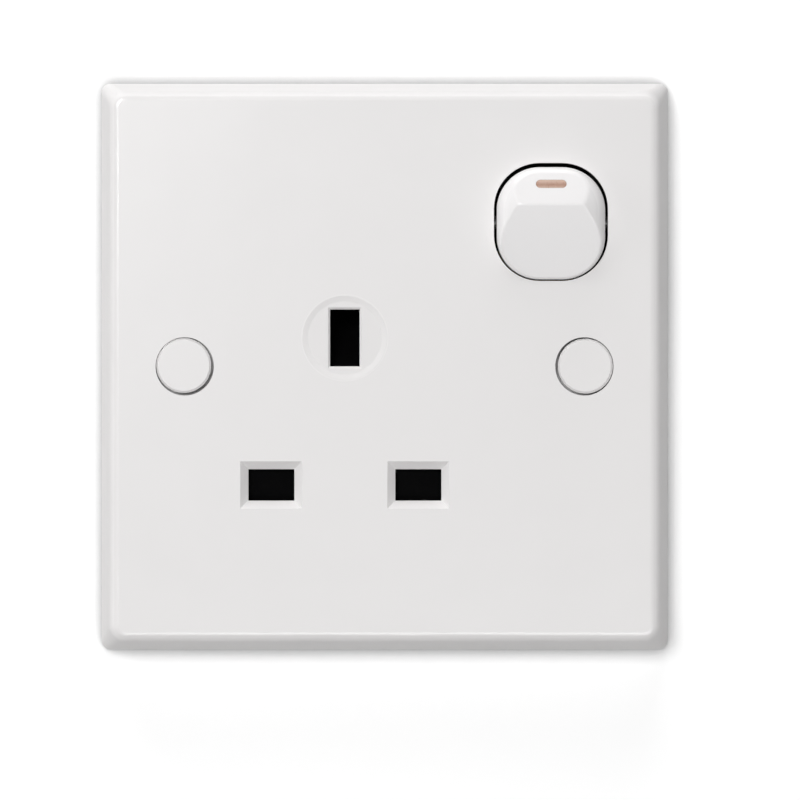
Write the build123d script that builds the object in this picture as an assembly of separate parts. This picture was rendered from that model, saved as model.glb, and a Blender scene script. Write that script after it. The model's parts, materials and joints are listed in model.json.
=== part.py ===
from build123d import *
import os
from math import cos, radians, sin, tan

# Switched wall socket for one plug with three flat pins. Millimetres.
# X is right and Z is up as the plate is seen on the wall. The front faces -Y and y = 0 is the wall.
# The switch is drawn at rest in its ON position, with the lower end of the rocker pressed in.

# Front plate
PLATE_SIDE = 86.0
PLATE_DEPTH = 9.0
PLATE_WALL = 2.6
RIM_WALL = 2.2
EDGE_LEAN = 1.6
EDGE_ROUND = 1.5
RIM_CORNER = 1.3
FACE_CORNER = 2.5

# Pin slots
SOCKET_X = -6.0
EARTH_Z = 4.3
PIN_PITCH = 22.2
SLOT_WIDE = 6.95
SLOT_HIGH = 4.75
SLOT_LEAD = 1.2
LEAD_ANGLE = 45.0
EARTH_WIDE = 4.45
EARTH_HIGH = 8.6
EARTH_LEAD = 0.3
EARTH_PIN_HIGH = 8.0
DISH_RADIUS = 6.35
DISH_EDGE = 0.8
DISH_DEPTH = 0.15

# Fixing screws and their caps
FIXING_PITCH = 60.3
FIXING_RADIUS = 1.75
FIXING_NECK_RADIUS = 1.4
FIXING_HEAD_RADIUS = 3.2
FIXING_HEAD_HIGH = 2.0
FIXING_HEAD_EDGE = 0.5
FIXING_REACH = 20.0
FIXING_POINT = 0.5
FIXING_HOLE_GAP = 0.25
FIXING_SEAT_WALL = 3.2
NECK_PAST_WALL = 0.5
PILLAR_WALL = 1.7
PILLAR_SHORT = 0.4
CAP_RADIUS = 4.15
CAP_HIGH = 1.9
CAP_EDGE = 0.3
CAP_GAP = 0.25
LEFT_CAP_SHIFT = (-0.15, 0.15)
RIGHT_CAP_SHIFT = (0.15, 0.05)
CAP_SPIGOT_LONG = 1.2
CAP_SPIGOT_WALL = 0.7
CAP_SPIGOT_GAP = 0.25
HEAD_GAP = 0.3

# Rocker
ROCKER_X = 25.1
ROCKER_Z = 21.8
APERTURE_WIDE = 17.2
APERTURE_HIGH = 17.8
APERTURE_CORNER = 6.9
ROCKER_SIDE_GAP = 0.42
ROCKER_TOP_GAP = 0.65
ROCKER_LOW_GAP = 0.2
ROCKER_THROW = 8.0
NOSE_STRAIGHT = 2.3
NOSE_DRAFT = 62.0
NOSE_ROUND = 3.0
NOSE_SPARE = 0.5
ROCKER_WALL = 1.5
TRUNNION_RADIUS = 1.0
TRUNNION_SEAT = 1.8
RUNNING_GAP = 0.05
SKIRT_DEPTH = 5.6
CREST_UP = 2.6
CREST_OUT = 4.0
LOWER_EDGE_OUT = 0.3
UPPER_EDGE_OUT = 1.5
CROWN_ROUND = 1.5
FACET_ROUND = 0.6
INDICATOR_UP = 5.67
INDICATOR_WIDE = 4.65
INDICATOR_HIGH = 1.35
INDICATOR_DEEP = 0.8
INLAY_GAP = 0.03

# Plunger under the rocker
STEM_RADIUS = 3.1
STEM_REACH = 9.0
PLUNGER_RADIUS = 1.9
PLUNGER_REACH = 13.0
PLUNGER_LONG = 7.6
PLUNGER_TIP_ROUND = 1.2
PLUNGER_SPRING_SEAT = 0.9
PLUNGER_SPRING_TURNS = 3
SPRING_WIRE = 0.45
SPRING_SIDE_GAP = 0.15
SPRING_END_GAP = 0.05
WIRE_SIDE_COUNT = 4

# Rocking contact
STRIP = 0.8
STRIP_BEND = 0.6
BLADE_GAP = 0.12
BLADE_WIDE = 6.0
BLADE_HALF = 7.6
BLADE_CORNER = 1.2
BLADE_TILT = 8.0
TAB_HIGH = 1.6
TAB_PAST_EAR = 0.4
EAR_GAP = 0.8
EAR_HIGH = 6.0
EAR_FRONT = 1.6
NOTCH_GAP = 0.2
NOTCH_FLARE = 0.9
BRACKET_RISE = 3.1
BRACKET_TAIL = 6.0
TIP_RADIUS = 1.6
TIP_HIGH = 0.9
TIP_UP = 6.0
TIP_GAP = 0.12
TIP_DOME = 0.35
FIXED_TIP_HIGH = 1.3

# Pin contacts
CLIP_WIDE = 6.2
EARTH_CLIP_HIGH = 7.0
THROAT = 3.3
MOUTH = 5.4
CLIP_BACK = 5.4
CLIP_BEND = 0.9
CLIP_GAP = 0.6
THROAT_DEPTH = 3.2
STRAP_WIDE = 5.0
STRAP_GAP = 1.0
FOOT_LONG = 4.5

# Terminals
TERMINAL_WIDE = 8.6
TERMINAL_TALL = 9.0
TERMINAL_DEEP = 9.0
TERMINAL_GAP = 0.6
TERMINAL_CHAMFER = 0.4
TERMINAL_FRONT_WALL = 1.6
WIRE_RADIUS = 2.2
WIRE_DEPTH = 7.6
WIRE_WINDOW = 6.0
LINE_TERMINAL_X = 5.0
EARTH_TERMINAL_X = -20.0
CLAMP_RADIUS = 1.7
CLAMP_HEAD_RADIUS = 2.5
CLAMP_HEAD_HIGH = 1.6
CLAMP_LIFT = 0.4
CLAMP_TIP_GAP = 0.15
ACCESS_GAP = 0.5
DRIVE_SLOT_WIDE = 0.8
DRIVE_SLOT_DEEP = 0.8

# Shutter
SHUTTER_THICK = 2.6
SHUTTER_STANDOFF = 0.5
SHUTTER_GAP = 0.1
SHUTTER_WEB = 9.0
SHUTTER_COVER = 0.45
SHUTTER_CLEAR = 0.4
RAMP_WIDE = 5.0
RAMP_LAND = 0.6
RAMP_ROOT = 2.0
RUNNER_WIDE = 1.2
RUNNER_APART = 6.0
SHUTTER_SPRING_RADIUS = 1.7
SHUTTER_SPRING_TURNS = 4
PEG_LONG = 0.8
PEG_GAP = 0.25
GUIDE_WALL = 1.2
GUIDE_TOP_GAP = 1.4

# Rear housing and its screws
HOUSING_HIGH = 66.0
HOUSING_WALL = 1.6
HOUSING_FLOOR = 2.0
HOUSING_REAR = 17.0
HOUSING_CORNER = 3.0
HOUSING_EDGE = 0.8
LUG_NOTCH_HIGH = 20.0
LUG_NOTCH_X = 23.5
HOUSING_SCREWS = [(-30.0, 28.0), (-30.0, -28.0), (30.0, -28.0), (11.5, 13.5)]
BOSS_RADIUS = 3.6
POST_RADIUS = 3.0
BOSS_JOINT_Y = 2.0
TAPPER_RADIUS = 1.45
TAPPER_HEAD_RADIUS = 2.4
TAPPER_HEAD_HIGH = 1.9
TAPPER_HEAD_GAP = 0.25
TAPPER_BITE = 5.5
TAPPER_GAP = 0.05
TAPPER_WELL = 3.5
TAPPER_SPARE = 0.5
RIB = 1.3
RIB_GAP = 0.1
BEARING_POST = 5.0
STRAP_COVER = 1.2
STRAP_COVER_GAP = 0.6

# Places that follow from the sizes above
FACE_Y = -PLATE_DEPTH
INNER_Y = FACE_Y + PLATE_WALL
FLOOR_Y = HOUSING_REAR - HOUSING_FLOOR
PIN_ROW_Z = EARTH_Z - PIN_PITCH
NEUTRAL_X = SOCKET_X - PIN_PITCH / 2
LINE_X = SOCKET_X + PIN_PITCH / 2

FIXING_SEAT_Y = -PILLAR_SHORT - FIXING_SEAT_WALL
HEAD_BORE = FIXING_HEAD_RADIUS + HEAD_GAP

PIVOT_Y = INNER_Y + TRUNNION_RADIUS + RUNNING_GAP
TRUNNION_END = APERTURE_WIDE / 2 + TRUNNION_SEAT
BORE_RADIUS = PLUNGER_RADIUS + RUNNING_GAP

BLADE_FRONT_Y = PIVOT_Y + PLUNGER_REACH + BLADE_GAP
FULCRUM_Y = BLADE_FRONT_Y + STRIP
BRACKET_Y = FULCRUM_Y + BRACKET_RISE
STRAP_Y = BRACKET_Y + STRIP
EARTH_BASE_Y = FLOOR_Y - STRIP
EAR_X = BLADE_WIDE / 2 + EAR_GAP
TAIL_LOW_Z = ROCKER_Z - EAR_HIGH / 2 - BRACKET_TAIL
TILT = radians(BLADE_TILT)
FIXED_TIP_Y = FULCRUM_Y + TIP_HIGH * cos(TILT) + TIP_UP * sin(TILT) + TIP_GAP
FIXED_TIP_Z = ROCKER_Z + TIP_UP * cos(TILT) - TIP_HIGH * sin(TILT)
FIXED_STRIP_Y = FIXED_TIP_Y + FIXED_TIP_HIGH

HOUSING_WIDE = 2 * (ROCKER_X + TRUNNION_END)
INNER_HALF_WIDE = HOUSING_WIDE / 2 - HOUSING_WALL
INNER_HALF_HIGH = HOUSING_HIGH / 2 - HOUSING_WALL
RISER_X = LUG_NOTCH_X - HOUSING_WALL - STRAP_GAP - STRAP_WIDE / 2
TAPPER_SEAT_Y = HOUSING_REAR - TAPPER_WELL

TERMINAL_Y = FLOOR_Y - TERMINAL_DEEP
WIRE_Y = TERMINAL_Y + TERMINAL_FRONT_WALL + WIRE_RADIUS
TOP_TERMINAL_Z = INNER_HALF_HIGH - TERMINAL_GAP - TERMINAL_TALL / 2
NEUTRAL_TERMINAL_X = -INNER_HALF_WIDE + TERMINAL_GAP + TERMINAL_TALL / 2

SHUTTER_Y = INNER_Y + SHUTTER_STANDOFF
SHUTTER_BACK_Y = SHUTTER_Y + SHUTTER_THICK
SHUTTER_TRAVEL = EARTH_PIN_HIGH + SHUTTER_CLEAR
SHUTTER_LOW_Z = PIN_ROW_Z - SLOT_HIGH / 2 - SHUTTER_COVER
SHUTTER_BAR_Z = PIN_ROW_Z + SLOT_HIGH / 2 + SHUTTER_COVER
SHUTTER_SPRING_Y = INNER_Y + SHUTTER_SPRING_RADIUS + SPRING_WIRE / 2 + SHUTTER_GAP
PEG_RADIUS = SHUTTER_SPRING_RADIUS - SPRING_WIRE / 2 - PEG_GAP
RAMP_LOW_Z = EARTH_Z - EARTH_PIN_HIGH / 2
RAMP_BACK_Y = SHUTTER_Y + SHUTTER_TRAVEL + RAMP_LAND
GUIDE_TOP_Z = RAMP_LOW_Z - GUIDE_TOP_GAP
GUIDE_LOW_Z = SHUTTER_BAR_Z + SHUTTER_GAP
CLIP_FRONT_Y = RAMP_BACK_Y + CLIP_GAP


# Shared forms

def slab(outline, back, front):
    """Solid of a front-view outline, from the depth of its back to the depth of its front."""
    return extrude(Plane.XZ.offset(-back) * outline, amount=back - front)


def brick(x, y, z):
    """Rectangular solid between two limits along each axis."""
    limits = [sorted(pair) for pair in (x, y, z)]
    middle = [(low + high) / 2 for low, high in limits]
    size = [high - low for low, high in limits]
    return Pos(*middle) * Box(*size)


def span(middle, size):
    """The two limits of a size about its middle."""
    return (middle - size / 2, middle + size / 2)


def rod(radius, x, z, back, front):
    """Round bar along Y at one place of the front view."""
    return slab(Pos(x, z) * Circle(radius), back, front)


def bar_along_x(radius, x, y, z):
    """Round bar along X between two limits."""
    middle = sum(x) / 2
    return Pos(middle, y, z) * Rot(0, 90, 0) * Cylinder(radius, abs(x[1] - x[0]))


def strip_profile(points, bend):
    """Closed outline of a bent strip of contact metal that follows a chain of points."""
    path = FilletPolyline(*points, radius=bend)
    edge = offset(path, amount=STRIP / 2, kind=Kind.INTERSECTION, side=Side.BOTH)
    return make_face(edge.edges())


def turned(solid, angle):
    """A solid swung about the rocker's pivot. A positive angle brings the upper end forward."""
    return solid.rotate(Axis((ROCKER_X, PIVOT_Y, ROCKER_Z), (1, 0, 0)), angle)


def tilted(solid, angle):
    """A solid swung about the fulcrum of the rocking contact."""
    return solid.rotate(Axis((ROCKER_X, FULCRUM_Y, ROCKER_Z), (1, 0, 0)), angle)


def coil(radius, turns, long):
    """Compression spring that rises along Z from z = 0, of the given length over its wire."""
    rise = long - SPRING_WIRE
    line = Helix(pitch=rise / turns, height=rise, radius=radius)
    section = Plane(line @ 0, z_dir=line % 0) * RegularPolygon(SPRING_WIRE / 2, WIRE_SIDE_COUNT)
    return Pos(0, 0, SPRING_WIRE / 2) * sweep(section, path=line, is_frenet=True)


def driven_head(head, x, z, top, facing):
    """A screw head with a straight drive slot in its top, which faces forward (-1) or back (1)."""
    reach = head.bounding_box().size.X
    return head - brick(span(x, reach), (top, top - facing * DRIVE_SLOT_DEEP), span(z, DRIVE_SLOT_WIDE))


# Front plate

def plate_outline(y, inset=0.0):
    """Outline of the leaning plate side at one depth."""
    share = -y / PLATE_DEPTH
    side = PLATE_SIDE - 2 * (EDGE_LEAN * share + inset)
    corner = RIM_CORNER + (FACE_CORNER - RIM_CORNER) * share
    return Plane.XZ.offset(-y) * RectangleRounded(side, side, corner)


def slot_cut(x, z, wide, high, lead, face):
    """Through slot for a pin, with a lead-in that widens towards the face."""
    outline = Pos(x, z) * Rectangle(wide, high)
    lead_in = extrude(Plane.XZ.offset(-face - lead) * outline, amount=lead, taper=-LEAD_ANGLE)
    return slab(outline, INNER_Y, face) + lead_in


def fixing_cut(x):
    """Stepped hole for one fixing screw and its cap."""
    recess = rod(CAP_RADIUS + CAP_GAP, x, 0, FACE_Y + CAP_HIGH, FACE_Y)
    bore = rod(HEAD_BORE, x, 0, FIXING_SEAT_Y, FACE_Y)
    hole = rod(FIXING_RADIUS + FIXING_HOLE_GAP, x, 0, 0, FACE_Y)
    return recess + bore + hole


def front_plate():
    plate = loft([plate_outline(0), plate_outline(FACE_Y)], ruled=True)
    plate = fillet(plate.edges().group_by(Axis.Y)[0], EDGE_ROUND)
    plate -= loft([plate_outline(0, RIM_WALL), plate_outline(INNER_Y, RIM_WALL)], ruled=True)
    for side in (-1, 1):
        x = side * FIXING_PITCH / 2
        plate += rod(HEAD_BORE + PILLAR_WALL, x, 0, -PILLAR_SHORT, INNER_Y)
        plate -= fixing_cut(x)
        guide_x = SOCKET_X + side * (SHUTTER_WEB / 2 + SHUTTER_GAP)
        guide_reach = (guide_x, guide_x + side * GUIDE_WALL)
        plate += brick(guide_reach, (INNER_Y, SHUTTER_BACK_Y), (GUIDE_LOW_Z, GUIDE_TOP_Z))
    for x, z in HOUSING_SCREWS:
        plate += rod(POST_RADIUS, x, z, BOSS_JOINT_Y, INNER_Y)
        pilot_end = BOSS_JOINT_Y - TAPPER_BITE - TAPPER_SPARE
        plate -= rod(TAPPER_RADIUS + TAPPER_GAP, x, z, BOSS_JOINT_Y, pilot_end)
    dish = Cone(DISH_RADIUS - DISH_EDGE, DISH_RADIUS, DISH_DEPTH)
    plate -= Pos(SOCKET_X, FACE_Y + DISH_DEPTH / 2, EARTH_Z) * Rot(90, 0, 0) * dish
    earth_face = FACE_Y + DISH_DEPTH
    plate -= slot_cut(SOCKET_X, EARTH_Z, EARTH_WIDE, EARTH_HIGH, EARTH_LEAD, earth_face)
    for x in (NEUTRAL_X, LINE_X):
        plate -= slot_cut(x, PIN_ROW_Z, SLOT_WIDE, SLOT_HIGH, SLOT_LEAD, FACE_Y)
    aperture = Pos(ROCKER_X, ROCKER_Z) * RectangleRounded(APERTURE_WIDE, APERTURE_HIGH, APERTURE_CORNER)
    return plate - slab(aperture, INNER_Y, FACE_Y)


# Fixing screws and caps

def fixing_screws():
    screws = []
    for side in (-1, 1):
        x = side * FIXING_PITCH / 2
        top = FIXING_SEAT_Y - FIXING_HEAD_HIGH
        head = rod(FIXING_HEAD_RADIUS, x, 0, FIXING_SEAT_Y, top)
        head = chamfer(head.edges().group_by(Axis.Y)[0], FIXING_HEAD_EDGE)
        thread = rod(FIXING_RADIUS, x, 0, FIXING_REACH, NECK_PAST_WALL)
        thread = chamfer(thread.edges().group_by(Axis.Y)[-1], FIXING_POINT)
        neck = rod(FIXING_NECK_RADIUS, x, 0, NECK_PAST_WALL, FIXING_SEAT_Y)
        screws.append(driven_head(head, x, 0, top, -1) + neck + thread)
    return Compound(children=screws)


def screw_cap(side, shift):
    """Flush cap in the mouth of one screw hole, where it lies a little off the middle."""
    x = side * FIXING_PITCH / 2 + shift[0]
    z = shift[1]
    seat = FACE_Y + CAP_HIGH
    end = seat + CAP_SPIGOT_LONG
    disc = rod(CAP_RADIUS, x, z, seat, FACE_Y)
    disc = chamfer(disc.edges().group_by(Axis.Y)[0], CAP_EDGE)
    outer = HEAD_BORE - CAP_SPIGOT_GAP
    return disc + rod(outer, x, z, end, seat) - rod(outer - CAP_SPIGOT_WALL, x, z, end, seat)


# Rocker and plunger

def facet_plane(edge_up, edge_out, shift=0.0):
    """Plane through the rocker's crest and one end edge, facing forward, moved back by shift."""
    rise = edge_up - CREST_UP
    drop = CREST_OUT - edge_out
    normal = (0, -abs(rise), drop * (1 if rise > 0 else -1))
    return Plane((ROCKER_X, FACE_Y - CREST_OUT, ROCKER_Z + CREST_UP), (1, 0, 0), normal).offset(-shift)


def upper_plane(shift=0.0):
    return facet_plane(APERTURE_HIGH / 2, UPPER_EDGE_OUT, shift)


def lower_plane(shift=0.0):
    return facet_plane(-APERTURE_HIGH / 2, LOWER_EDGE_OUT, shift)


def rocker_outline(inset):
    """Outline of the rocker in its hole. The gap is widest at the top end, which swings in."""
    wide = APERTURE_WIDE - 2 * (ROCKER_SIDE_GAP + inset)
    high = APERTURE_HIGH - ROCKER_TOP_GAP - ROCKER_LOW_GAP - 2 * inset
    middle = ROCKER_Z + (ROCKER_LOW_GAP - ROCKER_TOP_GAP) / 2
    corner = APERTURE_CORNER - ROCKER_SIDE_GAP - inset
    return Pos(ROCKER_X, middle) * RectangleRounded(wide, high, corner)


def nose(inset, straight, high):
    """Straight sides from the skirt up, then slopes that lean in all round."""
    outline = rocker_outline(inset)
    column = slab(outline, FACE_Y + SKIRT_DEPTH, FACE_Y - straight)
    return column + extrude(Plane.XZ.offset(straight - FACE_Y) * outline, high - straight, taper=NOSE_DRAFT)


def rocker():
    body = nose(0, NOSE_STRAIGHT, CREST_OUT + NOSE_SPARE)
    crease = body.edges().filter_by(Plane.XZ).group_by(Axis.Y)[1]
    body = fillet(crease, NOSE_ROUND)
    body = split(body, bisect_by=upper_plane(), keep=Keep.BOTTOM)
    body = fillet(body.faces().filter_by(upper_plane())[0].edges(), CROWN_ROUND)
    body = split(body, bisect_by=lower_plane(), keep=Keep.BOTTOM)
    body = fillet(body.faces().filter_by(lower_plane())[0].edges(), FACET_ROUND)
    body -= rocker_hollow()
    body += rocker_stem()
    body -= turned(plunger_bore(), ROCKER_THROW / 2)
    wall_x = APERTURE_WIDE / 2 - ROCKER_SIDE_GAP - ROCKER_WALL
    for side in (-1, 1):
        reach = (ROCKER_X + side * wall_x, ROCKER_X + side * TRUNNION_END)
        body += bar_along_x(TRUNNION_RADIUS, reach, PIVOT_Y, ROCKER_Z)
    return body - indicator_bar(0.0)


def rocker_hollow():
    """Space inside the rocker, one wall behind its outer faces and open at the back."""
    straight = NOSE_STRAIGHT - ROCKER_WALL * tan(radians(NOSE_DRAFT / 2))
    space = nose(ROCKER_WALL, straight, CREST_OUT - ROCKER_WALL + NOSE_SPARE)
    for plane in (upper_plane(ROCKER_WALL), lower_plane(ROCKER_WALL)):
        space = split(space, bisect_by=plane, keep=Keep.BOTTOM)
    return space


def rocker_stem():
    """Round stem behind the rocker, rooted halfway into its front wall."""
    stem = rod(STEM_RADIUS, ROCKER_X, ROCKER_Z, PIVOT_Y + STEM_REACH, FACE_Y - CREST_OUT)
    stem = turned(stem, ROCKER_THROW / 2)
    for plane in (upper_plane(ROCKER_WALL / 2), lower_plane(ROCKER_WALL / 2)):
        stem = split(stem, bisect_by=plane, keep=Keep.BOTTOM)
    return stem


def plunger_bore():
    """Bore of the stem as it lies when the rocker is in the middle of its swing."""
    return rod(BORE_RADIUS, ROCKER_X, ROCKER_Z, PIVOT_Y + STEM_REACH, PIVOT_Y + PLUNGER_SPRING_SEAT)


def indicator_bar(gap):
    """Rounded bar let into the upper facet, smaller than its recess by a gap."""
    up = INDICATOR_UP - CREST_UP
    fall = up * (CREST_OUT - UPPER_EDGE_OUT) / (APERTURE_HIGH / 2 - CREST_UP)
    place = upper_plane()
    place.origin = (ROCKER_X, FACE_Y - CREST_OUT + fall, ROCKER_Z + INDICATOR_UP)
    bar = SlotOverall(INDICATOR_WIDE - 2 * gap, INDICATOR_HIGH - 2 * gap)
    return extrude(place * bar, amount=gap - INDICATOR_DEEP)


def plunger():
    tip = PIVOT_Y + PLUNGER_REACH
    body = rod(PLUNGER_RADIUS, ROCKER_X, ROCKER_Z, tip, tip - PLUNGER_LONG)
    body = fillet(body.edges().group_by(Axis.Y)[-1], PLUNGER_TIP_ROUND)
    return turned(body, ROCKER_THROW / 2)


def plunger_spring():
    room = PLUNGER_REACH - PLUNGER_LONG - PLUNGER_SPRING_SEAT
    radius = BORE_RADIUS - SPRING_SIDE_GAP - SPRING_WIRE / 2
    spring = coil(radius, PLUNGER_SPRING_TURNS, room - 2 * SPRING_END_GAP)
    start = PIVOT_Y + PLUNGER_SPRING_SEAT + SPRING_END_GAP
    return turned(Pos(ROCKER_X, start, ROCKER_Z) * Rot(-90, 0, 0) * spring, ROCKER_THROW / 2)


# Rocking contact

def moving_contact():
    blade = slab(
        Pos(ROCKER_X, ROCKER_Z) * RectangleRounded(BLADE_WIDE, 2 * BLADE_HALF, BLADE_CORNER),
        FULCRUM_Y,
        BLADE_FRONT_Y,
    )
    tab_wide = 2 * (EAR_X + STRIP + TAB_PAST_EAR)
    tabs = brick(span(ROCKER_X, tab_wide), (BLADE_FRONT_Y, FULCRUM_Y), span(ROCKER_Z, TAB_HIGH))
    return tilted(blade + tabs, -BLADE_TILT)


def moving_contact_tip():
    tip = rod(TIP_RADIUS, ROCKER_X, ROCKER_Z + TIP_UP, FULCRUM_Y + TIP_HIGH, FULCRUM_Y)
    return tilted(tip, -BLADE_TILT)


def fixed_contact_tip():
    """Domed rivet that meets the flat tip of the rocking contact."""
    ball = (TIP_RADIUS**2 + TIP_DOME**2) / (2 * TIP_DOME)
    stud = rod(TIP_RADIUS, ROCKER_X, FIXED_TIP_Z, FIXED_STRIP_Y, FIXED_TIP_Y)
    return stud & Pos(ROCKER_X, FIXED_TIP_Y + ball, FIXED_TIP_Z) * Sphere(ball)


def footed_strap(start_x, terminal_side_x, front, z):
    """Flat strap along X whose end turns forward as a foot against a terminal's side."""
    depth = front + STRIP / 2
    foot_x = terminal_side_x + STRIP / 2
    profile = strip_profile([(start_x, depth), (foot_x, depth), (foot_x, depth - FOOT_LONG)], STRIP_BEND)
    return extrude(Plane.XY.offset(z - STRAP_WIDE / 2) * profile, amount=STRAP_WIDE)


def fixed_contact():
    end_x = ROCKER_X + STRAP_WIDE / 2
    return footed_strap(end_x, LINE_TERMINAL_X + TERMINAL_WIDE / 2, FIXED_STRIP_Y, FIXED_TIP_Z)


def fulcrum_bracket():
    """Folded bracket whose two ears hold the tabs of the rocking contact in open notches."""
    ear = EAR_X + STRIP / 2
    front = FULCRUM_Y - EAR_FRONT
    back = BRACKET_Y + STRIP / 2
    profile = strip_profile([(-ear, front), (-ear, back), (ear, back), (ear, front)], STRIP_BEND)
    fold = extrude(Plane.XY.offset(-EAR_HIGH / 2) * profile, amount=EAR_HIGH)
    tail = brick(
        span(ROCKER_X, 2 * EAR_X),
        (BRACKET_Y, BRACKET_Y + STRIP),
        (TAIL_LOW_Z, ROCKER_Z),
    )
    low = TAB_HIGH / 2 + NOTCH_GAP
    wide = low + NOTCH_FLARE
    bottom = FULCRUM_Y + NOTCH_GAP
    notch = Pos(0, ROCKER_Z) * make_face(
        Polyline((front, wide), (bottom, low), (bottom, -low), (front, -wide), close=True).edges()
    )
    reach = 2 * (EAR_X + STRIP + TAB_PAST_EAR)
    cut = extrude(Plane.YZ.offset(ROCKER_X - reach / 2) * notch, amount=reach)
    return Pos(ROCKER_X, 0, ROCKER_Z) * fold + tail - cut


# Pin contacts

def clip_profile(base):
    """Side outline of a spring clip: two leaves that pinch a pin, joined by a base behind it."""
    leaf = STRIP / 2
    front = CLIP_FRONT_Y
    upper = [
        (front, MOUTH / 2 + leaf),
        (front + THROAT_DEPTH, THROAT / 2 + leaf),
        (base + leaf, CLIP_BACK / 2 - leaf),
    ]
    lower = [(depth, -across) for depth, across in reversed(upper)]
    return strip_profile(upper + lower, CLIP_BEND)


def power_clip(x):
    profile = Pos(0, PIN_ROW_Z) * clip_profile(STRAP_Y)
    return extrude(Plane.YZ.offset(x - CLIP_WIDE / 2) * profile, amount=CLIP_WIDE)


def neutral_contact():
    side_x = NEUTRAL_TERMINAL_X + TERMINAL_TALL / 2
    return power_clip(NEUTRAL_X) + footed_strap(NEUTRAL_X, side_x, STRAP_Y, PIN_ROW_Z)


def line_contact():
    """Clip of the switched pin, with a flat strap that climbs to the switch."""
    flat = (STRAP_Y, STRAP_Y + STRIP)
    low = span(PIN_ROW_Z, STRAP_WIDE)
    high = (TAIL_LOW_Z, TAIL_LOW_Z + STRAP_WIDE)
    riser = span(RISER_X, STRAP_WIDE)
    foot = brick((LINE_X, riser[1]), flat, low)
    climb = brick(riser, flat, (low[0], high[1]))
    head = brick((riser[0], ROCKER_X + EAR_X), flat, high)
    return power_clip(LINE_X) + foot + climb + head


def earth_contact():
    """Clip of the earth pin, with a strap along the floor of the housing to its terminal."""
    side = Plane((SOCKET_X, 0, EARTH_Z + EARTH_CLIP_HIGH / 2), (0, 1, 0), (0, 0, -1))
    clip = extrude(side * clip_profile(EARTH_BASE_Y), amount=EARTH_CLIP_HIGH)
    top = TOP_TERMINAL_Z + STRAP_WIDE / 2
    riser = brick(span(SOCKET_X, CLIP_BACK - 2 * CLIP_BEND), (EARTH_BASE_Y, FLOOR_Y), (EARTH_Z, top))
    strap = footed_strap(SOCKET_X, EARTH_TERMINAL_X + TERMINAL_WIDE / 2, EARTH_BASE_Y, TOP_TERMINAL_Z)
    return clip + riser + strap


# Terminals

def terminal(x, z, turn):
    """Brass block with a blind wire hole, which points up before the turn, and a clamp hole behind."""
    middle = TERMINAL_Y + TERMINAL_DEEP / 2
    block = chamfer(Box(TERMINAL_WIDE, TERMINAL_DEEP, TERMINAL_TALL).edges(), TERMINAL_CHAMFER)
    wire = Pos(0, WIRE_Y - middle, TERMINAL_TALL / 2 - WIRE_DEPTH / 2) * Cylinder(WIRE_RADIUS, WIRE_DEPTH)
    clamp = rod(CLAMP_RADIUS + TAPPER_GAP, 0, 0, TERMINAL_DEEP / 2, WIRE_Y - middle)
    return Pos(x, middle, z) * Rot(0, turn, 0) * (block - wire - clamp)


def terminal_screw(x, z):
    """Clamp screw, backed off so that the wire hole is open."""
    under_head = FLOOR_Y + CLAMP_LIFT
    top = under_head + CLAMP_HEAD_HIGH
    head = driven_head(rod(CLAMP_HEAD_RADIUS, x, z, top, under_head), x, z, top, 1)
    return head + rod(CLAMP_RADIUS, x, z, under_head, WIRE_Y + WIRE_RADIUS + CLAMP_TIP_GAP)


# Shutter

def shutter():
    """Slide that covers the power slots until the earth pin drives it down by its ramp."""
    depth = (SHUTTER_Y, SHUTTER_BACK_Y)
    web = brick(span(SOCKET_X, SHUTTER_WEB), depth, (SHUTTER_LOW_Z, RAMP_LOW_Z))
    bar_wide = PIN_PITCH + SLOT_WIDE + 2 * SHUTTER_COVER
    bar = brick(span(SOCKET_X, bar_wide), depth, (SHUTTER_LOW_Z, SHUTTER_BAR_Z))
    top = RAMP_LOW_Z + SHUTTER_TRAVEL
    root = RAMP_LOW_Z - RAMP_ROOT
    side = Polyline(
        (SHUTTER_Y, RAMP_LOW_Z),
        (SHUTTER_Y + SHUTTER_TRAVEL, top),
        (RAMP_BACK_Y, top),
        (RAMP_BACK_Y, root),
        (SHUTTER_Y, root),
        close=True,
    )
    ramp = extrude(Plane.YZ.offset(SOCKET_X - RAMP_WIDE / 2) * make_face(side.edges()), amount=RAMP_WIDE)
    body = web + bar + ramp + spring_peg(SHUTTER_LOW_Z, -1)
    for side_of in (-1, 1):
        runner_x = SOCKET_X + side_of * RUNNER_APART / 2
        runner_y = (INNER_Y + SHUTTER_GAP, SHUTTER_Y)
        body += brick(span(runner_x, RUNNER_WIDE), runner_y, (SHUTTER_BAR_Z, GUIDE_TOP_Z))
    return body


def spring_peg(z, direction):
    """Peg that holds one end of the shutter's spring, from a face at one height."""
    return Pos(SOCKET_X, SHUTTER_SPRING_Y, z + direction * PEG_LONG / 2) * Cylinder(PEG_RADIUS, PEG_LONG)


def shutter_spring():
    low = -INNER_HALF_HIGH + SPRING_END_GAP
    long = SHUTTER_LOW_Z - SPRING_END_GAP - low
    return Pos(SOCKET_X, SHUTTER_SPRING_Y, low) * coil(SHUTTER_SPRING_RADIUS, SHUTTER_SPRING_TURNS, long)


# Rear housing

def housing_outline():
    """Back of the socket, with a notch each side for the lugs of the wall box."""
    outline = RectangleRounded(HOUSING_WIDE, HOUSING_HIGH, HOUSING_CORNER)
    notch_wide = HOUSING_WIDE / 2 - LUG_NOTCH_X
    for side in (-1, 1):
        middle = side * (LUG_NOTCH_X + notch_wide / 2)
        outline -= Pos(middle, 0) * Rectangle(notch_wide, LUG_NOTCH_HIGH)
    return outline


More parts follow.
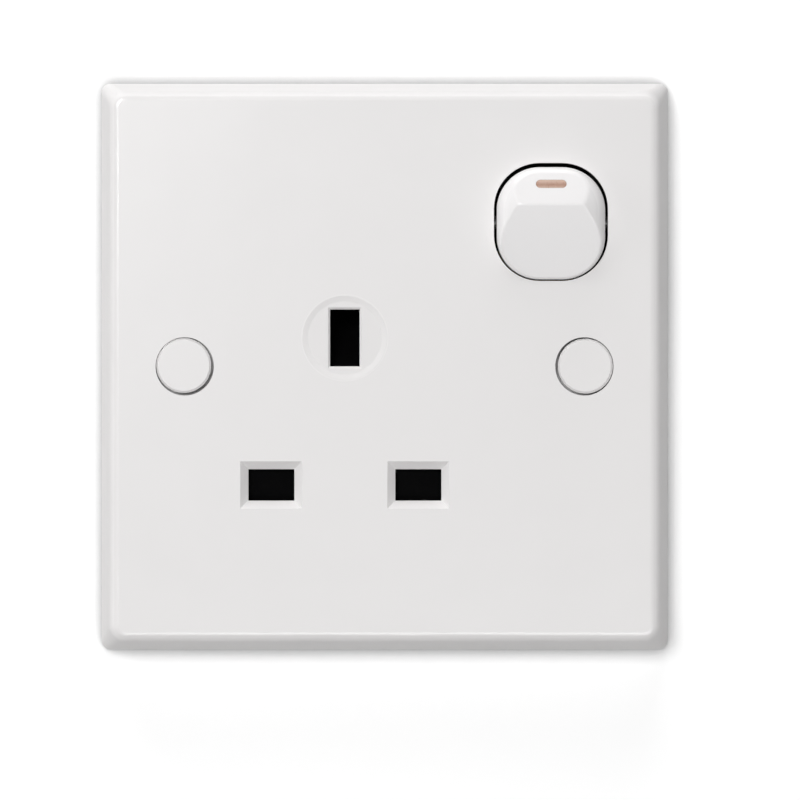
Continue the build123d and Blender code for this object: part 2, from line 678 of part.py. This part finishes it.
def housing_supports():
    """Blocks and ribs that rise from the floor to carry the contacts, terminals and shutter."""
    power_seat = (STRAP_Y + STRIP, FLOOR_Y)
    seats = [
        brick(span(x, CLIP_WIDE), power_seat, span(PIN_ROW_Z, STRAP_WIDE / 2)) for x in (NEUTRAL_X, LINE_X)
    ]
    seats.append(brick(span(ROCKER_X, 2 * EAR_X), power_seat, (TAIL_LOW_Z, TAIL_LOW_Z + STRAP_WIDE)))
    fixed_seat = (FIXED_STRIP_Y + STRIP, FLOOR_Y)
    seats.append(brick(span(ROCKER_X, STRAP_WIDE), fixed_seat, span(FIXED_TIP_Z, STRAP_WIDE)))
    seats.append(strap_cover())
    bearing_x = (ROCKER_X - TRUNNION_END, ROCKER_X - APERTURE_WIDE / 2)
    seats.append(brick(bearing_x, (INNER_Y, FLOOR_Y), span(ROCKER_Z, BEARING_POST)))
    for side in (-1, 1):
        ledge_x = SOCKET_X + side * SHUTTER_WEB / 2
        ledge_y = (SHUTTER_BACK_Y + SHUTTER_GAP, FLOOR_Y)
        seats.append(brick((ledge_x, ledge_x - side * RIB), ledge_y, (GUIDE_LOW_Z, GUIDE_TOP_Z)))
        rib_z = PIN_ROW_Z + side * (TERMINAL_WIDE / 2 + RIB_GAP)
        rib_x = span(NEUTRAL_TERMINAL_X, TERMINAL_TALL)
        seats.append(brick(rib_x, (WIRE_Y, FLOOR_Y), (rib_z, rib_z + side * RIB)))
    for x in (LINE_TERMINAL_X, EARTH_TERMINAL_X):
        low_z = TOP_TERMINAL_Z - TERMINAL_TALL / 2 - RIB_GAP
        side_x = x - TERMINAL_WIDE / 2 - RIB_GAP
        seats.append(brick(span(x, TERMINAL_WIDE), (WIRE_Y, FLOOR_Y), (low_z - RIB, low_z)))
        seats.append(brick((side_x - RIB, side_x), (WIRE_Y, FLOOR_Y), span(TOP_TERMINAL_Z, TERMINAL_TALL)))
    return seats


def strap_cover():
    """Shelf from the top wall that hides the strap of the fixed contact from the rocker's hole."""
    start_x = LINE_TERMINAL_X + TERMINAL_WIDE / 2 + STRIP + STRAP_GAP
    end_x = ROCKER_X - BLADE_WIDE / 2 - EAR_GAP
    back = FIXED_STRIP_Y - STRAP_COVER_GAP
    low = FIXED_TIP_Z - STRAP_WIDE / 2
    return brick((start_x, end_x), (back - STRAP_COVER, back), (low, INNER_HALF_HIGH))


def trunnion_seat(side):
    """Open-fronted seat for one trunnion of the rocker, closed by the back of the plate."""
    radius = TRUNNION_RADIUS + RUNNING_GAP
    reach = (ROCKER_X, ROCKER_X + side * (TRUNNION_END + RUNNING_GAP))
    entry = brick(reach, (PIVOT_Y, INNER_Y), span(ROCKER_Z, 2 * radius))
    return bar_along_x(radius, reach, PIVOT_Y, ROCKER_Z) + entry


def rear_housing():
    outline = housing_outline()
    inside = offset(outline, amount=-HOUSING_WALL, kind=Kind.INTERSECTION)
    body = slab(outline, HOUSING_REAR, INNER_Y)
    body = chamfer(body.edges().group_by(Axis.Y)[-1], HOUSING_EDGE)
    body -= slab(inside, FLOOR_Y, INNER_Y)
    for seat in housing_supports():
        body += seat
    body += spring_peg(-INNER_HALF_HIGH, 1)
    for x, z in HOUSING_SCREWS:
        body += rod(BOSS_RADIUS, x, z, FLOOR_Y, BOSS_JOINT_Y) & slab(outline, FLOOR_Y, BOSS_JOINT_Y)
        body -= rod(TAPPER_RADIUS + TAPPER_HEAD_GAP, x, z, HOUSING_REAR, BOSS_JOINT_Y)
        body -= rod(TAPPER_HEAD_RADIUS + TAPPER_HEAD_GAP, x, z, HOUSING_REAR, TAPPER_SEAT_Y)
    window_y = span(WIRE_Y, WIRE_WINDOW)
    for x in (LINE_TERMINAL_X, EARTH_TERMINAL_X):
        body -= rod(CLAMP_HEAD_RADIUS + ACCESS_GAP, x, TOP_TERMINAL_Z, HOUSING_REAR, FLOOR_Y)
        body -= brick(span(x, WIRE_WINDOW), window_y, (INNER_HALF_HIGH, HOUSING_HIGH / 2))
    body -= rod(CLAMP_HEAD_RADIUS + ACCESS_GAP, NEUTRAL_TERMINAL_X, PIN_ROW_Z, HOUSING_REAR, FLOOR_Y)
    body -= brick((-HOUSING_WIDE / 2, -INNER_HALF_WIDE), window_y, span(PIN_ROW_Z, WIRE_WINDOW))
    for side in (-1, 1):
        body -= trunnion_seat(side)
    return body


def housing_screws():
    screws = []
    for x, z in HOUSING_SCREWS:
        top = TAPPER_SEAT_Y + TAPPER_HEAD_HIGH
        head = driven_head(rod(TAPPER_HEAD_RADIUS, x, z, top, TAPPER_SEAT_Y), x, z, top, 1)
        screws.append(head + rod(TAPPER_RADIUS, x, z, TAPPER_SEAT_Y, BOSS_JOINT_Y - TAPPER_BITE))
    return Compound(children=screws)


NODES = {
    "front_plate": front_plate(),
    "screw_cap_left": screw_cap(-1, LEFT_CAP_SHIFT),
    "screw_cap_right": screw_cap(1, RIGHT_CAP_SHIFT),
    "fixing_screws": fixing_screws(),
    "rocker": rocker(),
    "indicator_window": indicator_bar(INLAY_GAP),
    "plunger": plunger(),
    "plunger_spring": plunger_spring(),
    "moving_contact": moving_contact(),
    "moving_contact_tip": moving_contact_tip(),
    "fixed_contact": fixed_contact(),
    "fixed_contact_tip": fixed_contact_tip(),
    "fulcrum_bracket": fulcrum_bracket(),
    "line_contact": line_contact(),
    "neutral_contact": neutral_contact(),
    "earth_contact": earth_contact(),
    "line_terminal": terminal(LINE_TERMINAL_X, TOP_TERMINAL_Z, 0),
    "earth_terminal": terminal(EARTH_TERMINAL_X, TOP_TERMINAL_Z, 0),
    "neutral_terminal": terminal(NEUTRAL_TERMINAL_X, PIN_ROW_Z, -90),
    "line_terminal_screw": terminal_screw(LINE_TERMINAL_X, TOP_TERMINAL_Z),
    "earth_terminal_screw": terminal_screw(EARTH_TERMINAL_X, TOP_TERMINAL_Z),
    "neutral_terminal_screw": terminal_screw(NEUTRAL_TERMINAL_X, PIN_ROW_Z),
    "shutter": shutter(),
    "shutter_spring": shutter_spring(),
    "rear_housing": rear_housing(),
    "housing_screws": housing_screws(),
}

os.makedirs("parts", exist_ok=True)
for name, solid in NODES.items():
    export_step(solid, f"parts/{name}.step")
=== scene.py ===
"""Looks of a switched wall socket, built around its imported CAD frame.

The frame's solids keep their shapes and get their materials here. The two springs and the fixing screws
are made anew, with round wire and real threads. Lengths are in metres, in the frame's own axes: +Z is up
the wall, +X is to the right and -Y is towards the viewer.
"""
import json
import math

import bpy
from mathutils import Matrix, Vector


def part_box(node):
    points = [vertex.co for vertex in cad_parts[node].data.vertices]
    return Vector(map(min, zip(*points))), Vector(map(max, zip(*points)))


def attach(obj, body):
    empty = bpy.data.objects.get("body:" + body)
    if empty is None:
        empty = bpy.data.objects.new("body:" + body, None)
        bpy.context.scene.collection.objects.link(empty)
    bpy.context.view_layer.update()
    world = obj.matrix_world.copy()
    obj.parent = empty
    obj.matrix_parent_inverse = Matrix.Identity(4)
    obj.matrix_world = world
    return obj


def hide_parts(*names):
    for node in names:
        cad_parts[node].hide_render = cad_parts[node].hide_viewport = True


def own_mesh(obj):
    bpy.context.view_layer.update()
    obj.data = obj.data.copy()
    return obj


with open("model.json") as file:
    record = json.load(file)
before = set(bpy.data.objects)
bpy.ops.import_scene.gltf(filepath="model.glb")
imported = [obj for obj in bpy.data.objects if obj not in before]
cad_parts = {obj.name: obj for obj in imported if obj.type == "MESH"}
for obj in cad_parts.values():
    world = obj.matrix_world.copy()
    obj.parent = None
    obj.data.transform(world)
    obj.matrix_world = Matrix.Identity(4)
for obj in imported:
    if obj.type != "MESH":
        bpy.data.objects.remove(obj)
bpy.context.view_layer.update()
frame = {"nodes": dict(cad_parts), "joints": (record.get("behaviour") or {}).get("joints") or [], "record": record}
nodes = frame["nodes"]
scene = bpy.context.scene
scene.view_settings.view_transform = "Standard"
MM = 0.001
MICRON = 0.000001


# Shader trees

class Tree:
    """Short ways to add and link the nodes of one shader tree."""

    def __init__(self, tree):
        self.tree = tree

    def add(self, kind, **settings):
        node = self.tree.nodes.new(kind)
        for key, value in settings.items():
            setattr(node, key, value)
        return node

    def link(self, source, target):
        self.tree.links.new(source, target)

    def math(self, operation, value, other):
        """One of the simple sums of a value with another, or with a plain number."""
        node = self.add("ShaderNodeMath", operation=operation)
        self.link(value, node.inputs[0])
        if isinstance(other, float):
            node.inputs[1].default_value = other
        else:
            self.link(other, node.inputs[1])
        return node.outputs["Value"]

    def ranged(self, value, low, high, start=0.3, end=0.7):
        """A value that goes from low to high as another goes from start to end."""
        node = self.add("ShaderNodeMapRange")
        for key, number in (("From Min", start), ("From Max", end), ("To Min", low), ("To Max", high)):
            node.inputs[key].default_value = number
        self.link(value, node.inputs["Value"])
        return node.outputs["Result"]

    def open_air(self, reach):
        """Share of open air in sight within a reach, which is low in narrow gaps and corners."""
        node = self.add("ShaderNodeAmbientOcclusion", samples=8)
        node.inputs["Distance"].default_value = reach
        return node.outputs["AO"]

    def seen_rays(self):
        """One for a ray from the camera, a reflection or a refraction, and nothing for light on surfaces."""
        path = self.add("ShaderNodeLightPath")
        value = path.outputs["Is Camera Ray"]
        for word in ("Is Glossy Ray", "Is Transmission Ray"):
            value = self.math("MAXIMUM", value, path.outputs[word])
        return value


# Materials

class Look(Tree):
    """One procedural material: a principled shader with noise, colour and bump helpers."""

    def __init__(self, name, colour, roughness, metallic=0.0, specular=0.5):
        self.material = bpy.data.materials.new(name)
        self.material.use_nodes = True
        self.material.diffuse_color = (*colour, 1.0)
        super().__init__(self.material.node_tree)
        self.shader = self.tree.nodes["Principled BSDF"]
        self.colour = colour
        self.set("Base Color", (*colour, 1.0))
        self.set("Roughness", roughness)
        self.set("Metallic", metallic)
        self.set("Specular IOR Level", specular)
        self.place = self.add("ShaderNodeTexCoord").outputs["Object"]
        self.height = None

    def set(self, socket, value):
        self.shader.inputs[socket].default_value = value

    def part_of(self, coordinate, axis):
        """One axis of a texture coordinate, such as Normal or Generated."""
        split = self.add("ShaderNodeSeparateXYZ")
        self.link(self.add("ShaderNodeTexCoord").outputs[coordinate], split.inputs["Vector"])
        return split.outputs[axis]

    def noise(self, per_metre, detail=3.0, stretch=(1.0, 1.0, 1.0)):
        """Noise in the frame's axes; stretch below 1 draws it out along that axis."""
        mapping = self.add("ShaderNodeMapping")
        mapping.inputs["Scale"].default_value = stretch
        self.link(self.place, mapping.inputs["Vector"])
        texture = self.add("ShaderNodeTexNoise")
        texture.inputs["Scale"].default_value = per_metre
        texture.inputs["Detail"].default_value = detail
        self.link(mapping.outputs["Vector"], texture.inputs["Vector"])
        return texture.outputs["Fac"]

    def away(self, middle, axes):
        """Distance from a point, along the axes that are 1."""
        flat = self.add("ShaderNodeVectorMath", operation="MULTIPLY")
        flat.inputs[1].default_value = axes
        self.link(self.place, flat.inputs[0])
        distance = self.add("ShaderNodeVectorMath", operation="DISTANCE")
        distance.inputs[1].default_value = middle
        self.link(flat.outputs["Vector"], distance.inputs[0])
        return distance.outputs["Value"]

    def mottle(self, value, other, start=0.3, end=0.7):
        """Colour that drifts from the look's own to another as a value goes from start to end."""
        ramp = self.add("ShaderNodeValToRGB")
        for stop, position, colour in zip(ramp.color_ramp.elements, (start, end), (self.colour, other)):
            stop.position = position
            stop.color = (*colour, 1.0)
        self.link(value, ramp.inputs["Fac"])
        self.link(ramp.outputs["Color"], self.shader.inputs["Base Color"])

    def paint_gap_shade(self, reach, bearing_shade=None):
        """Painted shade that darkens the colour in narrow gaps, where little open air is in sight.

        The second argument is the middle of a piece and the half width beyond which its bearings get painted
        shade.
        """
        # Painted shade: the base colour is scaled down to four tenths where ambient occlusion finds little open
        # air
        gap_lit_share = self.ranged(self.open_air(reach), 0.4, 1.0, 0.03, 0.28)
        if bearing_shade:
            middle, half = bearing_shade
            # Painted shade on the bearings: the colour falls to a tenth beyond the half width from the middle
            bearing_lit = self.ranged(self.away(middle, (1.0, 0.0, 0.0)), 1.0, 0.1, half, half + 0.1 * MM)
            gap_lit_share = self.math("MULTIPLY", gap_lit_share, bearing_lit)
        base = self.shader.inputs["Base Color"]
        dark = self.add("ShaderNodeVectorMath", operation="SCALE")
        self.link(base.links[0].from_socket, dark.inputs["Vector"])
        self.link(gap_lit_share, dark.inputs["Scale"])
        self.link(dark.outputs["Vector"], base)

    def roughen(self, value):
        self.link(value, self.shader.inputs["Roughness"])

    def bump(self, value, height):
        """Relief of one value, in metres; a second call lies on top of the first."""
        node = self.add("ShaderNodeBump")
        node.inputs["Strength"].default_value = 1.0
        node.inputs["Distance"].default_value = height
        self.link(value, node.inputs["Height"])
        if self.height is not None:
            self.link(self.height, node.inputs["Normal"])
        self.height = node.outputs["Normal"]
        self.link(self.height, self.shader.inputs["Normal"])


ACROSS_FRONT = (1.0, 0.0, 1.0)
ALONG_X = (0.04, 1.0, 1.0)
ALONG_Z = (1.0, 1.0, 0.04)
WHITE = (0.81, 0.796, 0.793)
ROCKER_WHITE = (0.838, 0.825, 0.826)
BLACK = (0.016, 0.016, 0.017)
TERRACOTTA = (0.377, 0.218, 0.159)
PALE_TERRACOTTA = (0.588, 0.425, 0.342)

# Middle and radius of the dish round the earth slot, and middle and half width of the rocker, beyond which its
# bearings get painted shade
DISH = ((-6.0 * MM, 0.0, 4.3 * MM), 6.4 * MM)
TRUNNIONS = ((25.1 * MM, 0.0, 0.0), 8.2 * MM)

# Round marks of the mould's ejector pins on the back of the housing, as x and z in millimetres
EJECTOR_RADIUS = 1.75 * MM
EJECTOR_MARKS = ((-27.0, 14.0), (-14.0, -6.0), (12.0, -8.0), (-14.0, -27.0), (12.0, -27.0), (28.0, 14.0))


def shaded(colour, factor):
    return tuple(channel * factor for channel in colour)


def gloss_plastic(name, colour, satin, patch=None, bearing_shade=None):
    """White moulding with a polished front, side walls of another roughness, and faint waves and grain.

    A patch is the middle and radius of a round place in the front that is as rough as the sides. Narrow gaps
    get painted shade, and so do the bearings of a piece beyond its given half width.
    """
    look = Look(name, colour, 0.2)
    look.mottle(look.noise(55, 4.0), shaded(colour, 0.975))
    # Painted shade in narrow gaps, and on the bearings when a half width is given
    look.paint_gap_shade(1.6 * MM, bearing_shade)
    front = look.ranged(look.part_of("Normal", "Y"), 0.0, 1.0, -0.75, -0.92)
    if patch:
        middle, radius = patch
        outside = look.ranged(look.away(middle, ACROSS_FRONT), 0.0, 1.0, radius, radius + 0.2 * MM)
        front = look.math("MULTIPLY", front, outside)
    finish = look.add("ShaderNodeMix")
    finish.inputs["A"].default_value = satin
    look.link(front, finish.inputs["Factor"])
    look.link(look.ranged(look.noise(60, 2.0), 0.18, 0.22), finish.inputs["B"])
    look.roughen(finish.outputs["Result"])
    look.bump(look.noise(160, 2.0), 6 * MICRON)
    look.bump(look.noise(4200, 2.0), 0.3 * MICRON)
    return look.material


def matte_plastic(name, colour, other, roughness=0.55, specular=0.5, marks=()):
    """Spark-eroded moulding: fine even grain over a slow drift of colour, and smoother ejector marks."""
    look = Look(name, colour, roughness, specular=specular)
    look.mottle(look.noise(120, 5.0), other)
    look.bump(look.noise(5200, 4.0), 16 * MICRON)
    look.bump(look.noise(300, 2.0), 20 * MICRON)
    finish = look.ranged(look.noise(2500, 3.0), roughness - 0.08, roughness + 0.1)
    for x, z in marks:
        away = look.away((x * MM, 0.0, z * MM), ACROSS_FRONT)
        outside = look.ranged(away, 0.6, 1.0, EJECTOR_RADIUS, EJECTOR_RADIUS + 0.1 * MM)
        finish = look.math("MULTIPLY", finish, outside)
        step = look.ranged(away, 0.0, 1.0, EJECTOR_RADIUS, EJECTOR_RADIUS + 0.2 * MM)
        look.bump(step, 200 * MICRON)
    look.roughen(finish)
    return look.material


def metal(name, colour, other, roughness, stretch):
    """Worked metal: drawn-out tool lines, slow tarnish and small pits."""
    look = Look(name, colour, roughness, metallic=1.0)
    look.mottle(look.noise(260, 6.0), other)
    lines = look.noise(6000, 4.0, stretch)
    look.roughen(look.ranged(lines, roughness - 0.08, roughness + 0.12))
    look.bump(lines, 8 * MICRON)
    look.bump(look.noise(1500, 5.0), 6 * MICRON)
    return look.material


def indicator_plastic(name):
    """Terracotta inlay, darker along its middle, with cloudy pigment."""
    look = Look(name, TERRACOTTA, 0.3)
    from_edge = look.math("PINGPONG", look.part_of("Generated", "Z"), 0.5)
    edge = look.ranged(from_edge, 1.0, 0.0, 0.1, 0.5)
    cloud = look.ranged(look.noise(1800, 4.0), -0.12, 0.12)
    look.mottle(look.math("ADD", edge, cloud), PALE_TERRACOTTA, 0.0, 1.0)
    look.roughen(look.ranged(look.noise(2400, 2.0), 0.24, 0.38))
    look.bump(look.noise(2600, 3.0), 6 * MICRON)
    look.set("Subsurface Weight", 0.12)
    look.set("Subsurface Radius", (0.9 * MM, 0.4 * MM, 0.3 * MM))
    return look.material


LOOKS = {
    "white_gloss": gloss_plastic("white_gloss_plastic", WHITE, 0.8, patch=DISH),
    # The rocker's bearings, beyond its half width, get painted shade
    "rocker_white": gloss_plastic("rocker_gloss_plastic", ROCKER_WHITE, 0.3, bearing_shade=TRUNNIONS),
    "indicator": indicator_plastic("indicator_plastic"),
    "housing_black": matte_plastic("housing_moulding", BLACK, (0.026, 0.026, 0.028), marks=EJECTOR_MARKS),
    "shutter_black": matte_plastic(
        "shutter_moulding", (0.002, 0.002, 0.0022), (0.003, 0.003, 0.0032), 0.7, specular=0.01
    ),
    "plunger_white": matte_plastic("plunger_moulding", (0.74, 0.72, 0.67), (0.68, 0.66, 0.6), 0.45),
    "screw_steel": metal("zinc_steel", (0.62, 0.62, 0.6), (0.52, 0.53, 0.53), 0.3, ALONG_X),
    "spring_steel": metal("spring_wire", (0.5, 0.5, 0.5), (0.4, 0.41, 0.43), 0.26, ALONG_Z),
    "contact_metal": metal("rolled_brass", (0.75, 0.56, 0.27), (0.66, 0.46, 0.2), 0.3, ALONG_Z),
    "tip_silver": metal("contact_silver", (0.8, 0.79, 0.76), (0.7, 0.68, 0.64), 0.28, ALONG_X),
    "terminal_brass": metal("machined_brass", (0.72, 0.52, 0.23), (0.62, 0.42, 0.17), 0.28, ALONG_X),
    "clamp_screw": metal("turned_brass", (0.76, 0.58, 0.3), (0.66, 0.47, 0.22), 0.25, ALONG_X),
}

SLOT_OF = {entry["node"]: entry["material_slot"] for entry in frame["record"]["subparts"]}
for name, node in nodes.items():
    node.data.materials.clear()
    node.data.materials.append(LOOKS[SLOT_OF[name]])
    node.data.shade_smooth()


# New pieces

JOINTS = {joint["name"]: joint for joint in frame["joints"]}

WIRE = 0.45 * MM
COIL_TURNS = 5.0
DEAD_TURNS = 1.0
STEPS_PER_TURN = 40
WIRE_SIDES = 12
PLUNGER_SPRING_SEAT = 0.95 * MM
PLUNGER_SPRING_LONG = 4.4 * MM
PLUNGER_SPRING_RADIUS = 1.575 * MM

HEAD_HIGH = 2.0 * MM
HEAD_RADIUS = 3.2 * MM
SHANK_CORE = 1.4 * MM
THREAD_CREST = 1.75 * MM
THREAD_PITCH = 0.6 * MM
THREAD_START = 0.5 * MM
THREAD_POINT = 0.45 * MM
SHANK_SIDES = 32
ROWS_PER_PITCH = 10
SHARP_ANGLE = math.radians(40)


def mesh_piece(name, verts, faces, node):
    """A smooth mesh that stands for one CAD node and takes its slot."""
    mesh = bpy.data.meshes.new(name)
    mesh.from_pydata(verts, [], faces)
    mesh.update()
    mesh.shade_smooth()
    mesh.materials.append(LOOKS[SLOT_OF[node]])
    piece = bpy.data.objects.new(name, mesh)
    scene.collection.objects.link(piece)
    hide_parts(node)
    return piece


def place_mesh(piece, matrix):
    piece.data.transform(matrix)
    piece.data.update()


def ring_faces(rows, count, start=0):
    """Quads that join rings of the same count of points, and the two end caps."""
    faces = []
    for row in range(rows - 1):
        for step in range(count):
            ahead = (step + 1) % count
            low, high = start + row * count, start + (row + 1) * count
            faces.append((low + step, low + ahead, high + ahead, high + step))
    faces.append(tuple(range(start + count - 1, start - 1, -1)))
    last = start + (rows - 1) * count
    faces.append(tuple(range(last, last + count)))
    return faces


def coil(radius, long):
    """Round wire wound along Z from z = 0, with a closed dead turn at each end."""
    rise = long - WIRE
    dead_rise = WIRE * 1.02
    active_turns = COIL_TURNS - 2 * DEAD_TURNS
    verts = []
    rows = int(COIL_TURNS * STEPS_PER_TURN) + 1
    for row in range(rows):
        turn = row / STEPS_PER_TURN
        if turn < DEAD_TURNS:
            height = dead_rise * turn / DEAD_TURNS
        elif turn > COIL_TURNS - DEAD_TURNS:
            height = rise - dead_rise * (COIL_TURNS - turn) / DEAD_TURNS
        else:
            height = dead_rise + (rise - 2 * dead_rise) * (turn - DEAD_TURNS) / active_turns
        angle = 2 * math.pi * turn
        out = Vector((math.cos(angle), math.sin(angle), 0))
        for side in range(WIRE_SIDES):
            bend = 2 * math.pi * side / WIRE_SIDES
            across = math.cos(bend) * WIRE / 2
            up = math.sin(bend) * WIRE / 2
            verts.append(out * (radius + across) + Vector((0, 0, height + WIRE / 2 + up)))
    return verts, ring_faces(rows, WIRE_SIDES)


def shutter_spring():
    """Return spring of the shutter, which in the socket shortens as the shutter is driven down; here it is a fixed
    coil.
    """
    low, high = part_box("shutter_spring")
    long = high.z - low.z
    radius = (high.x - low.x - WIRE) / 2
    piece = mesh_piece("shutter_spring_coil", *coil(radius, long), "shutter_spring")
    place_mesh(piece, Matrix.Translation(((low.x + high.x) / 2, (low.y + high.y) / 2, low.z)))
    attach(piece, "root")
    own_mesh(piece)


def plunger_spring():
    """Spring behind the plunger, along the rocker's leaning stem."""
    long = PLUNGER_SPRING_LONG
    pivot = Vector(JOINTS["rocker_tilt"]["pos_m"])
    stem = -Vector(JOINTS["plunger_slide"]["axis"]).normalized()
    start = pivot + stem * PLUNGER_SPRING_SEAT
    piece = mesh_piece("plunger_spring_coil", *coil(PLUNGER_SPRING_RADIUS, long), "plunger_spring")
    turn = Vector((0, 0, 1)).rotation_difference(stem).to_matrix().to_4x4()
    place_mesh(piece, Matrix.Translation(start) @ turn)
    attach(piece, "rocker")
    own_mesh(piece)


def shank_ring(x, y, radii):
    """A ring of points round a screw's axis, one for each radius."""
    ring = []
    for side, radius in enumerate(radii):
        angle = 2 * math.pi * side / SHANK_SIDES
        ring.append((x + radius * math.cos(angle), y, radius * math.sin(angle)))
    return ring


def threaded_shank(x, start, end):
    """Rings of the neck and the rolled, pointed thread of a fixing screw along Y."""
    neck = [SHANK_CORE] * SHANK_SIDES
    rings = [shank_ring(x, y, neck) for y in (start, THREAD_START - THREAD_PITCH / 2)]
    rows = round((end - THREAD_START) / THREAD_PITCH * ROWS_PER_PITCH)
    for row in range(rows + 1):
        y = THREAD_START + (end - THREAD_START) * row / rows
        fade = min(1.0, (y - THREAD_START) / THREAD_PITCH, (end - y) / (1.5 * THREAD_PITCH))
        point = max(0.0, THREAD_POINT - (end - y))
        radii = []
        for side in range(SHANK_SIDES):
            share = (y / THREAD_PITCH - side / SHANK_SIDES) % 1.0
            ridge = max(0.0, 1.0 - abs(share - 0.5) / 0.42)
            thread = (THREAD_CREST - SHANK_CORE) * min(1.0, ridge * 1.15) * fade
            radii.append(SHANK_CORE + thread - point)
        rings.append(shank_ring(x, y, radii))
    return rings


def fixing_screws():
    """The two fixing screws: heads as in the frame, shanks with a real thread."""
    node = nodes["fixing_screws"]
    low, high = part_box("fixing_screws")
    head_end = low.y + HEAD_HIGH
    verts, faces = [], []
    keep = {}
    for vert in node.data.vertices:
        if vert.co.y < head_end + 0.02 * MM:
            keep[vert.index] = len(verts)
            verts.append(tuple(vert.co))
    for polygon in node.data.polygons:
        if all(index in keep for index in polygon.vertices):
            faces.append(tuple(keep[index] for index in polygon.vertices))
    middle = (high.x + low.x) / 2
    reach = (high.x - low.x) / 2 - HEAD_RADIUS
    for side in (-1, 1):
        rings = threaded_shank(middle + side * reach, head_end - 0.2 * MM, high.y)
        faces += ring_faces(len(rings), SHANK_SIDES, len(verts))
        verts += [point for ring in rings for point in ring]
    piece = mesh_piece("fixing_screws_threaded", verts, faces, "fixing_screws")
    piece.data.set_sharp_from_angle(angle=SHARP_ANGLE)
    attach(piece, "root")


shutter_spring()
plunger_spring()
fixing_screws()


# Stage: a pale wall, open behind the plate and seen from the front only

WALL_HALF = 2.0
WALL_OPENING_HALF = 41.9 * MM
WALL_DEPTH = 1.0 * MM
WALL_WHITE = 0.95
WALL_LIFT = 0.2
# Grey of the painted contact shadow on the wall, and the reach within which it is painted
CONTACT_SHADOW_GREY = 0.36
CONTACT_REACH = 2.8 * MM
RIM_REACH = 1.6 * MM
AMBIENT = 0.03

# Name, place, width, height and power in watts of each lamp
LAMPS = (
    ("key", (-0.29, -1.1, 0.24), 0.36, 0.36, 6.1),
    ("fill", (0.17, -1.1, -0.4), 0.6, 0.5, 4.9),
    ("top", (-0.1, -0.25, 1.1), 0.8, 0.8, 8.0),
    ("left", (-1.1, -0.25, 0.1), 0.8, 0.8, 3.0),
    ("rear_key", (-0.35, 1.1, 0.45), 0.7, 0.7, 9.0),
    ("rear_fill", (0.25, 1.1, -0.3), 0.9, 0.9, 4.0),
)


def wall_paint():
    """White paint that reads as white to the camera, keeps soft shadows and has no back.

    It is painted greyer close to the plate, a painted contact shadow. It doesn't keep the lamps behind it off
    the plate's rear rim, which lies close to it.
    """
    material = bpy.data.materials.new("wall_paint")
    material.use_nodes = True
    paint = Tree(material.node_tree)
    paint.tree.nodes.clear()
    # Painted contact shadow: the paint turns grey where ambient occlusion finds the plate within reach
    contact_shadow_tone = paint.ranged(paint.open_air(CONTACT_REACH), CONTACT_SHADOW_GREY, WALL_WHITE, 0.45, 0.92)
    coat = paint.add("ShaderNodeBsdfDiffuse")
    glow = paint.add("ShaderNodeEmission")
    paint.link(contact_shadow_tone, coat.inputs["Color"])
    paint.link(contact_shadow_tone, glow.inputs["Color"])
    paint.link(paint.math("MULTIPLY", paint.seen_rays(), WALL_LIFT), glow.inputs["Strength"])
    both = paint.add("ShaderNodeAddShader")
    paint.link(coat.outputs[0], both.inputs[0])
    paint.link(glow.outputs[0], both.inputs[1])
    path = paint.add("ShaderNodeLightPath")
    near = paint.math("LESS_THAN", path.outputs["Ray Length"], RIM_REACH)
    rim_light = paint.math("MULTIPLY", near, path.outputs["Is Shadow Ray"])
    back = paint.add("ShaderNodeNewGeometry").outputs["Backfacing"]
    mix = paint.add("ShaderNodeMixShader")
    paint.link(paint.math("MAXIMUM", back, rim_light), mix.inputs["Fac"])
    paint.link(both.outputs[0], mix.inputs[1])
    paint.link(paint.add("ShaderNodeBsdfTransparent").outputs[0], mix.inputs[2])
    paint.link(mix.outputs[0], paint.add("ShaderNodeOutputMaterial").inputs["Surface"])
    return material


def wall():
    """Square sheet with a square opening, a little behind the plate's rear rim."""
    corners = ((-1, -1), (1, -1), (1, 1), (-1, 1))
    verts = [(x * half, WALL_DEPTH, z * half) for half in (WALL_HALF, WALL_OPENING_HALF) for x, z in corners]
    faces = [(a, (a + 1) % 4, 4 + (a + 1) % 4, 4 + a) for a in range(4)]
    mesh = bpy.data.meshes.new("wall")
    mesh.from_pydata(verts, [], faces)
    mesh.update()
    mesh.materials.append(wall_paint())
    wall_object = bpy.data.objects.new("wall", mesh)
    scene.collection.objects.link(wall_object)


def world_light():
    """White to the camera, to reflections and through glass, and an even light on everything else."""
    world = bpy.data.worlds.new("studio")
    world.use_nodes = True
    scene.world = world
    light = Tree(world.node_tree)
    background = world.node_tree.nodes["Background"]
    background.inputs["Color"].default_value = (1.0, 1.0, 1.0, 1.0)
    light.link(light.ranged(light.seen_rays(), AMBIENT, 1.0, 0.0, 1.0), background.inputs["Strength"])


def softbox(name, place, wide, tall, power):
    """Flat lamp that faces the middle of the plate."""
    light = bpy.data.lights.new(name, "AREA")
    light.shape = "RECTANGLE"
    light.size = wide
    light.size_y = tall
    light.energy = power
    lamp = bpy.data.objects.new(name, light)
    lamp.location = place
    lamp.rotation_euler = (-Vector(place)).to_track_quat("-Z", "Y").to_euler()
    scene.collection.objects.link(lamp)


wall()
world_light()
for lamp in LAMPS:
    softbox(*lamp)


# Camera: straight on, a little right of and below the middle of the plate

FIELD = 120.7 * MM
AWAY = 1.2
FACE_Y = -9.0 * MM
CAMERA_X = 2.33 * MM
CAMERA_Z = -5.07 * MM

camera_data = bpy.data.cameras.new("camera")
camera_data.sensor_width = 36.0
camera_data.lens = camera_data.sensor_width * AWAY / FIELD
camera_data.clip_end = 20.0
camera = bpy.data.objects.new("camera", camera_data)
camera.location = (CAMERA_X, FACE_Y - AWAY, CAMERA_Z)
camera.rotation_euler = (math.radians(90), 0, 0)
scene.collection.objects.link(camera)
scene.camera = camera
